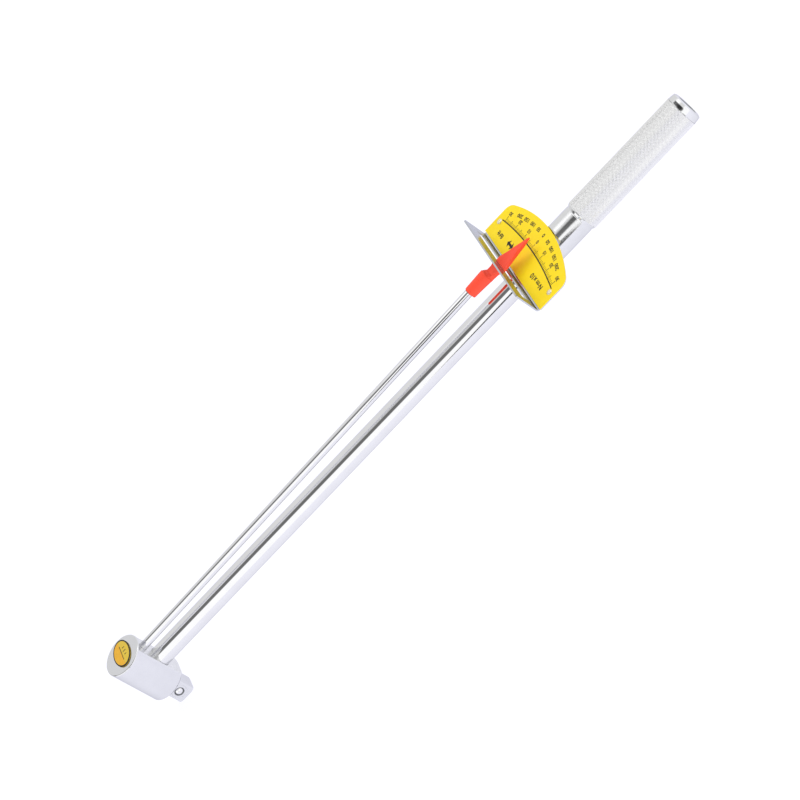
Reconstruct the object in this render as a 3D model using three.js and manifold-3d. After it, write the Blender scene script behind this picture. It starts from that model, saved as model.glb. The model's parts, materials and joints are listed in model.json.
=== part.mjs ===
// Deflecting-beam torque wrench with a half-inch square drive, in millimetres.
//
// Origin: centre of the square drive's end face. +X runs along the beam to the handle,
// +Z points from the drive to the side that carries the scale, and -Z is the way the drive
// points. The wrench is symmetric about the XZ plane, apart from the detent ball on the -Y flat.
//
// A round spring-steel beam joins the head to the handle and bends when the handle is pulled.
// The pointer rod is fixed in the head only, so it stays straight, and its red tip moves over
// a scale that is fixed to the handle.
import * as THREE from "three";
import { mergeVertices } from "three/addons/utils/BufferGeometryUtils.js";
import Module from "manifold-3d";

const wasm = await Module();
wasm.setup();

// ---- Driving dimensions ----

const ROUND = 64; // segments round a large turned piece
const SMALL_ROUND = 32; // segments round a pin, rod or hole
const FIT_GAP = 0.2; // radial gap between two pieces that touch on the real wrench
const FACE_GAP = 0.1; // gap between two flat faces that touch on the real wrench

const DRIVE_SIZE = 12.7; // half-inch square
const DRIVE_LENGTH = 15.7;
const DRIVE_CORNER_RADIUS = 0.9;
const DRIVE_END_ROUND = 2; // depth of the turned rounding on the drive's end corners
const DRIVE_END_RADIUS = 7; // where that rounding meets the end face

const HEAD_RADIUS = 14.3;
const HEAD_TOP_Z = 55.2;
const HEAD_TOP_ROUND = 0.9;
const HEAD_BOTTOM_CHAMFER = 1.4;
const HEAD_FLAT_X = 12; // milled seat that the beam and the pointer rod enter
const HEAD_LIP = 1.2; // thickness of the full top disc left above the seat

const BADGE_HALF_X = 6.85; // an oval, long across the wrench
const BADGE_HALF_Y = 11.35;
const BADGE_THICKNESS = 0.6;
const BADGE_X = 0.7; // the badge is stuck on a little off the head's axis
const BADGE_Y = 0.8;

const BALL_RADIUS = 3;
const BALL_PROUD = 1.1;
const BALL_Z = 7.3;
const DETENT_BORE_RADIUS = 3.15;
const DETENT_LIP_RADIUS = 2.75;
const DETENT_MOUTH_RADIUS = 3.4;
const DETENT_BORE_END_Y = 4.2;
const SPRING_RADIUS = 2.1; // of the wire's centre line
const SPRING_WIRE_RADIUS = 0.3;
const SPRING_TURNS = 6;

const BEAM_RADIUS = 7;
const BEAM_Z = 32.7;
const BEAM_START_X = -8.6;
const BEAM_END_X = 430;
const BEAM_CHAMFER = 0.8;

const LOCK_PIN_RADIUS = 2.5;
const LOCK_PIN_X = -2.2;
const LOCK_PIN_DEPTH = 0.4; // below the head's top face
const LOCK_PIN_BOTTOM_Z = 24.5;

const ROD_RADIUS = 2.75;
const ROD_Z = 47.85; // rod axis where it leaves the head's seat flat
const ROD_RISE = 0.02006; // radians, up towards the scale
const ROD_TAIL = 8.5; // length held in the head

const SCALE_X = 344.4; // front edge of the scale plate
const SCALE_HALF_WIDTH = 46.7;
const SCALE_DEPTH = 33.2; // front edge to the middle of the rounded back
const SCALE_BACK_RADIUS = 106;
const SCALE_CORNER_RADIUS = 7;
const SCALE_TOP = 10.35; // above the beam axis
const SCALE_THICKNESS = 0.5;

const SHEET = 1; // bracket sheet thickness
const BASE_INSET = 0.6; // bracket base inside the scale plate's outline
const BEND_RADIUS = 1; // inside radius
const WALL_HALF_WIDTH = 45.4;
const WALL_CORNER_RADIUS = 2;
const WALL_HEIGHT = 18.2; // above the scale plate's top face
const WALL_LEAN = 0.03; // radians, towards the head
const WALL_SETBACK = 1.35; // wall's rear face in front of the scale plate, at the bend
const WINDOW_LOW = 4.3; // window edges above the scale plate's top face
const WINDOW_HIGH = 10.1;
const WINDOW_HALF_LENGTH = 38.6;
const WINDOW_CORNER_RADIUS = 1.6;

const RIVET_X = 10.75; // behind the scale's front edge
const RIVET_Y = 42;
const RIVET_RADIUS = 1.2;
const RIVET_HEAD_RADIUS = 1.9;
const RIVET_HEAD_HEIGHT = 0.7;

const SCREW_X = [9, 24]; // behind the scale's front edge
const SCREW_RADIUS = 1.9;
const SCREW_HEAD_RADIUS = 3.1;
const SCREW_END = 1.2; // above the beam axis

const HANDLE_START_X = 346;
const NECK_RADIUS = 10.1;
const GRIP_START_X = 394.3;
const GRIP_END_X = 486.6;
const GRIP_RADIUS = 11;
const GRIP_FRONT_CHAMFER = 1.8;
const GRIP_END_CHAMFER = 2.2;
const HANDLE_FLAT = 8.65; // height above the beam axis of the flat that the bracket sits on
const HANDLE_FLAT_END = 34.6; // behind the scale's front edge

const PLUG_START_X = 472;
const PLUG_RECESS = 0.5;

const TIP_SOCKET_START = -27; // from the scale's front edge
const TIP_SOCKET_END = -11.5;
const TIP_SOCKET_RADIUS = 3.95;
const TIP_SOCKET_END_RADIUS = 4.6;
const TIP_SOCKET_Z = 53.16; // the socket's axis is level, a little below the rising rod's
const TIP_BORE_END = -13;
const ROD_SPIGOT_RADIUS = 1.9; // turned-down end of the rod, inside the socket

// ---- Derived places ----

const SCALE_TOP_Z = BEAM_Z + SCALE_TOP;
const BASE_TOP_Z = SCALE_TOP_Z - SCALE_THICKNESS - FACE_GAP;
const BASE_BOTTOM_Z = BASE_TOP_Z - SHEET;
const BALL_Y = -DRIVE_SIZE / 2 + BALL_RADIUS - BALL_PROUD;

// ---- Materials ----

function metal(color, roughness) {
  return new THREE.MeshStandardMaterial({ color, roughness, metalness: 1 });
}

const chrome = metal(0xd8dade, 0.12);
const satinChrome = metal(0xc9cbd0, 0.3);
const springSteel = metal(0x8a8c90, 0.35);
const darkSteel = metal(0x4b4d50, 0.45);
const labelYellow = new THREE.MeshStandardMaterial({
  color: 0xf2d21a,
  roughness: 0.45,
  metalness: 0,
});
const redPlastic = new THREE.MeshStandardMaterial({
  color: 0xe8362f,
  roughness: 0.4,
  metalness: 0,
});

// ---- Solids ----

function solid(geometry) {
  const bare = geometry.clone();
  bare.deleteAttribute("normal");
  bare.deleteAttribute("uv");
  const merged = mergeVertices(bare, 1e-4);
  return new wasm.Manifold(
    new wasm.Mesh({
      numProp: 3,
      vertProperties: new Float32Array(merged.attributes.position.array),
      triVerts: new Uint32Array(merged.index.array),
    }),
  );
}

function mesh(name, shape, material) {
  const data = shape.getMesh();
  const geometry = new THREE.BufferGeometry();
  geometry.setAttribute(
    "position",
    new THREE.BufferAttribute(new Float32Array(data.vertProperties), 3),
  );
  geometry.setIndex(new THREE.BufferAttribute(new Uint32Array(data.triVerts), 1));
  geometry.computeVertexNormals();
  const made = new THREE.Mesh(geometry, material);
  made.name = name;
  return made;
}

// A turned solid. The profile is a list of [radius, distance along the axis].
function turned(profile, segments = ROUND) {
  const points = profile.map(([r, along]) => new THREE.Vector2(r, along));
  return new THREE.LatheGeometry(points, segments);
}

function turnedAlongX(profile, segments) {
  return turned(profile, segments).rotateZ(-Math.PI / 2);
}

function turnedAlongZ(profile, segments) {
  return turned(profile, segments).rotateX(Math.PI / 2);
}

function cylinderProfile(radius, from, to) {
  return [
    [0, from],
    [radius, from],
    [radius, to],
    [0, to],
  ];
}

function rodAlongX(radius, from, to, z, segments = SMALL_ROUND) {
  return solid(turnedAlongX(cylinderProfile(radius, from, to), segments).translate(0, 0, z));
}

function rodAlongZ(radius, from, to, x, y = 0, segments = SMALL_ROUND) {
  return solid(turnedAlongZ(cylinderProfile(radius, from, to), segments).translate(x, y, 0));
}

function block(low, high) {
  const size = high.map((value, i) => value - low[i]);
  const centre = high.map((value, i) => (value + low[i]) / 2);
  return solid(new THREE.BoxGeometry(...size).translate(...centre));
}

// A flat outline in X and Y, extruded between two heights.
function plate(shape, lowZ, highZ) {
  const depth = highZ - lowZ;
  const options = { depth, bevelEnabled: false, curveSegments: 10 };
  return solid(new THREE.ExtrudeGeometry(shape, options).translate(0, 0, lowZ));
}

// An outline in X and Z, extruded to both sides of the XZ plane.
function sideExtrusion(shape, halfWidth) {
  const options = { depth: 2 * halfWidth, bevelEnabled: false, curveSegments: 8 };
  const geometry = new THREE.ExtrudeGeometry(shape, options);
  return solid(geometry.rotateX(Math.PI / 2).translate(0, halfWidth, 0));
}

function polygon(points) {
  return new THREE.Shape(points.map(([x, y]) => new THREE.Vector2(x, y)));
}

function roundedRectangle(halfX, halfY, radius) {
  const shape = new THREE.Shape();
  const x = halfX - radius;
  const y = halfY - radius;
  shape.absarc(x, y, radius, 0, Math.PI / 2);
  shape.absarc(-x, y, radius, Math.PI / 2, Math.PI);
  shape.absarc(-x, -y, radius, Math.PI, 1.5 * Math.PI);
  shape.absarc(x, -y, radius, 1.5 * Math.PI, 2 * Math.PI);
  return shape;
}

// ---- Head group ----

// The pointer rod's axis starts on the seat flat and rises by ROD_RISE towards the scale.
function alongRod(geometry) {
  return solid(geometry.rotateY(-ROD_RISE).translate(HEAD_FLAT_X, 0, ROD_Z));
}

function driveSquare() {
  const half = DRIVE_SIZE / 2;
  const square = plate(
    roundedRectangle(half, half, DRIVE_CORNER_RADIUS),
    0,
    DRIVE_LENGTH + 1,
  );
  const corner = DRIVE_SIZE / Math.SQRT2;
  const steps = 5;
  const rounding = [];
  for (let i = 0; i <= steps; i++) {
    const angle = (i / steps) * (Math.PI / 2);
    rounding.push([
      DRIVE_END_RADIUS + (corner - DRIVE_END_RADIUS) * Math.sin(angle),
      DRIVE_END_ROUND * (1 - Math.cos(angle)),
    ]);
  }
  const envelope = turnedAlongZ([
    [0, 0],
    ...rounding,
    [corner, DRIVE_LENGTH + 2],
    [0, DRIVE_LENGTH + 2],
  ]);
  return square.intersect(solid(envelope));
}

function detentBore() {
  const face = -DRIVE_SIZE / 2;
  const bore = turned(
    [
      [0, face - 1],
      [DETENT_MOUTH_RADIUS + 1, face - 1],
      [DETENT_MOUTH_RADIUS, face],
      [DETENT_LIP_RADIUS, face + 0.3],
      [DETENT_LIP_RADIUS, face + 0.5],
      [DETENT_BORE_RADIUS, face + 0.75],
      [DETENT_BORE_RADIUS, DETENT_BORE_END_Y],
      [0, DETENT_BORE_END_Y],
    ],
    SMALL_ROUND,
  );
  return solid(bore.translate(0, 0, BALL_Z));
}

function roundedTop(radius, top, round, steps = 4) {
  const points = [];
  for (let i = 0; i <= steps; i++) {
    const angle = (i / steps) * (Math.PI / 2);
    points.push([
      radius - round + round * Math.cos(angle),
      top - round + round * Math.sin(angle),
    ]);
  }
  return points;
}

function driveHead() {
  const barrel = solid(
    turnedAlongZ([
      [0, DRIVE_LENGTH],
      [HEAD_RADIUS - HEAD_BOTTOM_CHAMFER, DRIVE_LENGTH],
      [HEAD_RADIUS, DRIVE_LENGTH + HEAD_BOTTOM_CHAMFER],
      ...roundedTop(HEAD_RADIUS, HEAD_TOP_Z, HEAD_TOP_ROUND),
      [0, HEAD_TOP_Z],
    ]),
  );
  const pinBore = rodAlongZ(
    LOCK_PIN_RADIUS + FIT_GAP,
    LOCK_PIN_BOTTOM_Z - FIT_GAP,
    HEAD_TOP_Z + 1,
    LOCK_PIN_X,
  );
  const beamBore = rodAlongX(
    BEAM_RADIUS + FIT_GAP,
    BEAM_START_X - FIT_GAP,
    HEAD_RADIUS + 1,
    BEAM_Z,
    ROUND,
  );
  const rodBore = alongRod(
    turnedAlongX(cylinderProfile(ROD_RADIUS + FIT_GAP, -ROD_TAIL - FIT_GAP, 4), SMALL_ROUND),
  );
  const seat = block([HEAD_FLAT_X, -20, 0], [20, 20, HEAD_TOP_Z - HEAD_LIP]);
  return barrel
    .subtract(seat)
    .add(driveSquare())
    .subtract(pinBore)
    .subtract(beamBore)
    .subtract(rodBore)
    .subtract(detentBore());
}

function headBadge() {
  const bottom = HEAD_TOP_Z + FACE_GAP;
  const top = bottom + BADGE_THICKNESS;
  const disc = turnedAlongZ([
    [0, bottom],
    [BADGE_HALF_X, bottom],
    ...roundedTop(BADGE_HALF_X, top, 0.3, 2),
    [0, top],
  ]);
  return solid(disc.scale(1, BADGE_HALF_Y / BADGE_HALF_X, 1).translate(BADGE_X, BADGE_Y, 0));
}

function lockPin() {
  const top = HEAD_TOP_Z - LOCK_PIN_DEPTH;
  return solid(
    turnedAlongZ(
      [
        [0, LOCK_PIN_BOTTOM_Z],
        [LOCK_PIN_RADIUS - 0.5, LOCK_PIN_BOTTOM_Z],
        [LOCK_PIN_RADIUS, LOCK_PIN_BOTTOM_Z + 0.5],
        [LOCK_PIN_RADIUS, top - 0.5],
        [LOCK_PIN_RADIUS - 0.5, top],
        [0, top],
      ],
      SMALL_ROUND,
    ).translate(LOCK_PIN_X, 0, 0),
  );
}

function detentBall() {
  return solid(new THREE.SphereGeometry(BALL_RADIUS, 24, 16).translate(0, BALL_Y, BALL_Z));
}

// A coil spring from the back of the ball to the end of its bore.
function detentSpring() {
  const fromBall = BALL_RADIUS + SPRING_WIRE_RADIUS + FACE_GAP;
  const startY = BALL_Y + Math.sqrt(fromBall * fromBall - SPRING_RADIUS * SPRING_RADIUS);
  const endY = DETENT_BORE_END_Y - SPRING_WIRE_RADIUS - FACE_GAP;
  const coil = new THREE.Curve();
  coil.getPoint = (t, target = new THREE.Vector3()) => {
    const angle = 2 * Math.PI * SPRING_TURNS * t;
    return target.set(
      SPRING_RADIUS * Math.cos(angle),
      startY + (endY - startY) * t,
      BALL_Z + SPRING_RADIUS * Math.sin(angle),
    );
  };
  const section = new THREE.Shape();
  section.absarc(0, 0, SPRING_WIRE_RADIUS, 0, 2 * Math.PI);
  const options = { steps: SPRING_TURNS * 12, extrudePath: coil, curveSegments: 4 };
  return solid(new THREE.ExtrudeGeometry(section, options));
}

function pointerRod() {
  const length = SCALE_X + TIP_BORE_END - 0.5 - HEAD_FLAT_X;
  const shoulder = SCALE_X + TIP_SOCKET_START - FACE_GAP - HEAD_FLAT_X;
  return alongRod(
    turnedAlongX(
      [
        [0, -ROD_TAIL],
        [ROD_RADIUS - 0.4, -ROD_TAIL],
        [ROD_RADIUS, -ROD_TAIL + 0.4],
        [ROD_RADIUS, shoulder - 0.3],
        [ROD_RADIUS - 0.3, shoulder],
        [ROD_SPIGOT_RADIUS, shoulder],
        [ROD_SPIGOT_RADIUS, length - 0.4],
        [ROD_SPIGOT_RADIUS - 0.4, length],
        [0, length],
      ],
      SMALL_ROUND,
    ),
  );
}

// The red tip: a round socket on the rod, a step down, and a flat arrow that passes through
// the bracket's window and runs over the scale.
function pointerTip() {
  const fromFlat = SCALE_X - HEAD_FLAT_X;
  const socketStart = SCALE_X + TIP_SOCKET_START;
  const socketEnd = SCALE_X + TIP_SOCKET_END;
  const socket = solid(
    turnedAlongX(
      [
        [0, socketStart],
        [TIP_SOCKET_RADIUS - 0.3, socketStart],
        [TIP_SOCKET_RADIUS, socketStart + 0.3],
        [TIP_SOCKET_END_RADIUS, socketEnd - 1],
        [TIP_SOCKET_END_RADIUS - 0.8, socketEnd],
        [0, socketEnd],
      ],
      SMALL_ROUND,
    ).translate(0, 0, TIP_SOCKET_Z),
  );
  const bore = alongRod(
    turnedAlongX(
      cylinderProfile(
        ROD_SPIGOT_RADIUS + FIT_GAP,
        fromFlat + TIP_SOCKET_START - 1,
        fromFlat + TIP_BORE_END,
      ),
      SMALL_ROUND,
    ),
  );
  // Heights above the scale plate's top face, from the socket to the point and back.
  const side = polygon([
    [-14, 7.2],
    [-8, 7.2],
    [-3, 6.9],
    [1, 6.9],
    [9, 5.9],
    [16, 5.6],
    [21.6, 6.1],
    [21.6, 6.8],
    [11, 8.3],
    [-2.5, 8.4],
    [-5, 9.7],
    [-10, 10],
    [-11.6, 12],
    [-14, 12.2],
  ]);
  // Half widths of the tip's plan, from the socket to the point.
  const halfPlan = [
    [-14, 3.9],
    [-10.3, 4],
    [-6.5, 4.4],
    [-3.4, 6.35],
    [0.7, 6.35],
    [5.6, 4.2],
    [11.4, 2.4],
    [16.3, 1.4],
    [21.6, 0.35],
  ];
  const otherHalf = halfPlan.map(([x, y]) => [x, -y]).reverse();
  const plan = polygon([...otherHalf, ...halfPlan].reverse());
  const arrow = sideExtrusion(side, 10).intersect(plate(plan, 0, 20));
  return socket.add(arrow.translate([SCALE_X, 0, SCALE_TOP_Z])).subtract(bore);
}

function beam() {
  const bar = solid(
    turnedAlongX([
      [0, BEAM_START_X],
      [BEAM_RADIUS - BEAM_CHAMFER, BEAM_START_X],
      [BEAM_RADIUS, BEAM_START_X + BEAM_CHAMFER],
      [BEAM_RADIUS, BEAM_END_X - BEAM_CHAMFER],
      [BEAM_RADIUS - BEAM_CHAMFER, BEAM_END_X],
      [0, BEAM_END_X],
    ]).translate(0, 0, BEAM_Z),
  );
  const pinHole = rodAlongZ(LOCK_PIN_RADIUS + FIT_GAP, 0, HEAD_TOP_Z, LOCK_PIN_X);
  return bar.subtract(pinHole).subtract(screwHoles());
}

// ---- Handle group ----

function screwHoles() {
  const holes = SCREW_X.map((x) =>
    rodAlongZ(SCREW_RADIUS + FIT_GAP, BEAM_Z + SCREW_END - FIT_GAP, SCALE_TOP_Z, SCALE_X + x),
  );
  return holes[0].add(holes[1]);
}

function handle() {
  const bore = BEAM_RADIUS + FIT_GAP;
  const shell = solid(
    turnedAlongX([
      [bore, HANDLE_START_X],
      [NECK_RADIUS - 0.8, HANDLE_START_X],
      [NECK_RADIUS, HANDLE_START_X + 0.8],
      [NECK_RADIUS, GRIP_START_X],
      [GRIP_RADIUS, GRIP_START_X + GRIP_FRONT_CHAMFER],
      [GRIP_RADIUS, GRIP_END_X - GRIP_END_CHAMFER],
      [GRIP_RADIUS - 0.7, GRIP_END_X - 0.7],
      [GRIP_RADIUS - GRIP_END_CHAMFER, GRIP_END_X],
      [bore, GRIP_END_X],
      [bore, HANDLE_START_X],
    ]).translate(0, 0, BEAM_Z),
  );
  const flat = block(
    [HANDLE_START_X - 1, -12, BEAM_Z + HANDLE_FLAT],
    [SCALE_X + HANDLE_FLAT_END, 12, BEAM_Z + 12],
  );
  return shell.subtract(flat).subtract(screwHoles());
}

function endPlug() {
  const end = GRIP_END_X - PLUG_RECESS;
  return solid(
    turnedAlongX(
      [
        [0, PLUG_START_X],
        [BEAM_RADIUS - 0.6, PLUG_START_X],
        [BEAM_RADIUS, PLUG_START_X + 0.6],
        [BEAM_RADIUS, end - 0.4],
        [BEAM_RADIUS - 0.4, end],
        [1.4, end],
        [0, end - 1.2],
      ],
      ROUND,
    ).translate(0, 0, BEAM_Z),
  );
}

// The plan of the scale: straight front and sides, and a back that is one large arc with a
// small corner arc at each side.
function scaleOutline(inset, frontX) {
  const half = SCALE_HALF_WIDTH - inset;
  const backRadius = SCALE_BACK_RADIUS - inset;
  const backCentre = SCALE_X + SCALE_DEPTH - SCALE_BACK_RADIUS;
  const corner = SCALE_CORNER_RADIUS;
  const cornerY = half - corner;
  const reach = backRadius - corner;
  const cornerX = backCentre + Math.sqrt(reach * reach - cornerY * cornerY);
  const turn = Math.atan2(cornerY, cornerX - backCentre);
  const shape = new THREE.Shape();
  shape.moveTo(frontX, half);
  shape.lineTo(frontX, -half);
  shape.lineTo(cornerX, -half);
  shape.absarc(cornerX, -cornerY, corner, -Math.PI / 2, -turn);
  shape.absarc(backCentre, 0, backRadius, -turn, turn);
  shape.absarc(cornerX, cornerY, corner, turn, Math.PI / 2);
  return shape;
}

// Side view of the bent sheet: base, bend and leaning wall.
function bracketProfile() {
  const bendX = SCALE_X - WALL_SETBACK + BEND_RADIUS;
  const bendZ = BASE_TOP_Z + BEND_RADIUS;
  const outer = BEND_RADIUS + SHEET;
  const wall = SCALE_TOP_Z + WALL_HEIGHT - bendZ;
  const lean = Math.PI + WALL_LEAN;
  const upX = -Math.tan(WALL_LEAN) * wall;
  const shape = new THREE.Shape();
  shape.moveTo(SCALE_X + SCALE_DEPTH + 4, BASE_TOP_Z);
  shape.lineTo(bendX, BASE_TOP_Z);
  shape.absarc(bendX, bendZ, BEND_RADIUS, 1.5 * Math.PI, lean, true);
  shape.lineTo(bendX - BEND_RADIUS + upX, bendZ + wall);
  shape.lineTo(bendX - outer + upX, bendZ + wall);
  shape.absarc(bendX, bendZ, outer, lean, 1.5 * Math.PI, false);
  shape.lineTo(SCALE_X + SCALE_DEPTH + 4, BASE_BOTTOM_Z);
  return shape;
}

function wallWindow() {
  const height = WINDOW_HIGH - WINDOW_LOW;
  const outline = roundedRectangle(WINDOW_HALF_LENGTH, height / 2, WINDOW_CORNER_RADIUS);
  const options = { depth: 12, bevelEnabled: false, curveSegments: 6 };
  const cut = new THREE.ExtrudeGeometry(outline, options);
  cut.rotateX(Math.PI / 2).rotateZ(Math.PI / 2);
  return solid(cut.translate(SCALE_X - 10, 0, SCALE_TOP_Z + WINDOW_LOW + height / 2));
}

// Keeps the base whole and trims the wall to its own width, with rounded top corners.
function wallTrim() {
  const halfHeight = 20;
  const outline = roundedRectangle(WALL_HALF_WIDTH, halfHeight, WALL_CORNER_RADIUS);
  const options = { depth: 12, bevelEnabled: false, curveSegments: 5 };
  const wall = new THREE.ExtrudeGeometry(outline, options);
  wall.rotateX(Math.PI / 2).rotateZ(Math.PI / 2);
  const top = SCALE_TOP_Z + WALL_HEIGHT;
  const base = block([SCALE_X, -60, BASE_BOTTOM_Z - 5], [SCALE_X + 60, 60, top + 5]);
  return solid(wall.translate(SCALE_X - 12, 0, top - halfHeight)).add(base);
}

function rivetHoles() {
  const holes = [-1, 1].map((side) =>
    rodAlongZ(
      RIVET_RADIUS + FIT_GAP,
      BASE_BOTTOM_Z - 2,
      SCALE_TOP_Z + 2,
      SCALE_X + RIVET_X,
      side * RIVET_Y,
      16,
    ),
  );
  return holes[0].add(holes[1]);
}

function screwHeadProfile(grow) {
  const drop = SHEET - 0.1;
  return [
    [0, BASE_TOP_Z - drop],
    [SCREW_RADIUS + grow, BASE_TOP_Z - drop],
    [SCREW_HEAD_RADIUS + grow, BASE_TOP_Z],
    [0, BASE_TOP_Z],
  ];
}

function scaleBracket() {
  const sheet = sideExtrusion(bracketProfile(), SCALE_HALF_WIDTH);
  const insetBase = plate(
    scaleOutline(BASE_INSET, SCALE_X - 12),
    BASE_BOTTOM_Z - 2,
    SCALE_TOP_Z + WALL_HEIGHT + 2,
  );
  const sinks = SCREW_X.map((x) =>
    solid(
      turnedAlongZ(
        [...screwHeadProfile(FIT_GAP).slice(0, 3), [0, BASE_TOP_Z + 0.02]],
        SMALL_ROUND,
      ).translate(SCALE_X + x, 0, 0),
    ),
  );
  return sheet
    .intersect(insetBase)
    .intersect(wallTrim())
    .subtract(wallWindow())
    .subtract(rivetHoles())
    .subtract(screwHoles())
    .subtract(sinks[0])
    .subtract(sinks[1]);
}

function scalePlate() {
  const bottom = SCALE_TOP_Z - SCALE_THICKNESS;
  return plate(scaleOutline(0, SCALE_X), bottom, SCALE_TOP_Z).subtract(rivetHoles());
}

function scaleRivet(side) {
  const base = SCALE_TOP_Z + 0.06;
  const tail = BASE_BOTTOM_Z - 0.06;
  const profile = [
    [0, tail - 0.8],
    [1.5, tail - 0.8],
    [1.9, tail],
    [RIVET_RADIUS, tail],
    [RIVET_RADIUS, base],
    [RIVET_HEAD_RADIUS, base],
    [RIVET_HEAD_RADIUS * 0.8, base + RIVET_HEAD_HEIGHT * 0.7],
    [RIVET_HEAD_RADIUS * 0.4, base + RIVET_HEAD_HEIGHT],
    [0, base + RIVET_HEAD_HEIGHT],
  ];
  return solid(turnedAlongZ(profile, 20).translate(SCALE_X + RIVET_X, side * RIVET_Y, 0));
}

function bracketScrew(x) {
  const body = solid(
    turnedAlongZ(
      [
        [0, BEAM_Z + SCREW_END],
        [SCREW_RADIUS - 0.5, BEAM_Z + SCREW_END],
        [SCREW_RADIUS, BEAM_Z + SCREW_END + 0.5],
        ...screwHeadProfile(0).slice(1),
      ],
      SMALL_ROUND,
    ).translate(SCALE_X + x, 0, 0),
  );
  const slot = [BASE_TOP_Z - 0.9, BASE_TOP_Z + 1];
  const across = block(
    [SCALE_X + x - 1.9, -0.35, slot[0]],
    [SCALE_X + x + 1.9, 0.35, slot[1]],
  );
  const along = block(
    [SCALE_X + x - 0.35, -1.9, slot[0]],
    [SCALE_X + x + 0.35, 1.9, slot[1]],
  );
  return body.subtract(across).subtract(along);
}

// ---- Assembly ----

const wrench = new THREE.Group();

const headSide = new THREE.Group();
headSide.add(mesh("drive_head", driveHead(), satinChrome));
headSide.add(mesh("head_badge", headBadge(), labelYellow));
headSide.add(mesh("beam_lock_pin", lockPin(), darkSteel));
headSide.add(mesh("detent_ball", detentBall(), chrome));
headSide.add(mesh("detent_spring", detentSpring(), springSteel));
headSide.add(mesh("deflecting_beam", beam(), chrome));
headSide.add(mesh("pointer_rod", pointerRod(), chrome));
headSide.add(mesh("pointer_tip", pointerTip(), redPlastic));

const handleSide = new THREE.Group();
handleSide.add(mesh("handle", handle(), satinChrome));
handleSide.add(mesh("handle_end_plug", endPlug(), darkSteel));
handleSide.add(mesh("scale_bracket", scaleBracket(), chrome));
handleSide.add(mesh("scale_plate", scalePlate(), labelYellow));
handleSide.add(mesh("scale_rivet_left", scaleRivet(1), satinChrome));
handleSide.add(mesh("scale_rivet_right", scaleRivet(-1), satinChrome));
handleSide.add(mesh("bracket_screw_front", bracketScrew(SCREW_X[0]), darkSteel));
handleSide.add(mesh("bracket_screw_rear", bracketScrew(SCREW_X[1]), darkSteel));

wrench.add(headSide, handleSide);

export default wrench;
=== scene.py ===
"""Looks of a deflecting-beam torque wrench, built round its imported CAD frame.

Lengths are in millimetres until a mesh is made, and MM turns them into metres. +X runs along the
beam from the head to the handle, +Z is the scale's side, and the origin is the drive's end face.
"""

import math

import bmesh
import bpy
from mathutils import Matrix, Vector
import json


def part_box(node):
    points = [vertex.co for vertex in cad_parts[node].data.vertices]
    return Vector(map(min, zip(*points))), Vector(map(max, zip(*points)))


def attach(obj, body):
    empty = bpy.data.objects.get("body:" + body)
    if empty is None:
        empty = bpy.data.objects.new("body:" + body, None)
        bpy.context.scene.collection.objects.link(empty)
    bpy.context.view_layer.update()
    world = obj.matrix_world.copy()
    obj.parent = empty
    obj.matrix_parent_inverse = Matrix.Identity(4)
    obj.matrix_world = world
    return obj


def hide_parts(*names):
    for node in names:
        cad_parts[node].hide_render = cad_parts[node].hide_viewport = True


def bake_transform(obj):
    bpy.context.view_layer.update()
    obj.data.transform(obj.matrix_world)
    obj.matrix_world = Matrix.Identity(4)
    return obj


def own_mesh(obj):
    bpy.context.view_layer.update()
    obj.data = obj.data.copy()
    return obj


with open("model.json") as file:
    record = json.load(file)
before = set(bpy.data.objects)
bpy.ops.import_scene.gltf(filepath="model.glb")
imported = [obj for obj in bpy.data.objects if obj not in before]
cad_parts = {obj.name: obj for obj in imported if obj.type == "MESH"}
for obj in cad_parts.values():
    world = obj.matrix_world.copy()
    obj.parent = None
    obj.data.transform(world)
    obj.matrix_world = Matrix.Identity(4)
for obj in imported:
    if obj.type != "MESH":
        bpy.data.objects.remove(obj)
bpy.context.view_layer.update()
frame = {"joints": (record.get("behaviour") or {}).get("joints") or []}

MM = 0.001


def box_mm(node):
    """Lowest and highest corner of a CAD node, in millimetres."""
    low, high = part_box(node)
    return low / MM, high / MM


# ---- Places and sizes that come from the frame ----

HEAD_LOW, HEAD_HIGH = box_mm("drive_head")
BEAM_LOW, BEAM_HIGH = box_mm("deflecting_beam")
HANDLE_LOW, HANDLE_HIGH = box_mm("handle")
PLATE_LOW, PLATE_HIGH = box_mm("scale_plate")
BRACKET_LOW, BRACKET_HIGH = box_mm("scale_bracket")
ROD_HIGH = box_mm("pointer_rod")[1]
BADGE_LOW, BADGE_HIGH = box_mm("head_badge")
BALL_LOW, BALL_HIGH = box_mm("detent_ball")
PIN_LOW, PIN_HIGH = box_mm("beam_lock_pin")
PLUG_LOW, PLUG_HIGH = box_mm("handle_end_plug")

HEAD_RADIUS = HEAD_HIGH.y
HEAD_TOP = HEAD_HIGH.z
BEAM_RADIUS = BEAM_HIGH.y
BEAM_Z = (BEAM_LOW.z + BEAM_HIGH.z) / 2
GRIP_RADIUS = HANDLE_HIGH.y
HANDLE_START = HANDLE_LOW.x
HANDLE_END = HANDLE_HIGH.x
PLATE_X = PLATE_LOW.x
PLATE_TOP = PLATE_HIGH.z
PLATE_HALF_WIDTH = PLATE_HIGH.y
PLATE_DEPTH = PLATE_HIGH.x - PLATE_LOW.x
ROD_RADIUS = ROD_HIGH.y
BALL_RADIUS = (BALL_HIGH.y - BALL_LOW.y) / 2
BALL_CENTRE = (BALL_LOW + BALL_HIGH) / 2
HINGE_X = frame["joints"][0]["pos_m"][0] / MM

# ---- Sizes that the boxes don't give, as in the CAD ----

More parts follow.
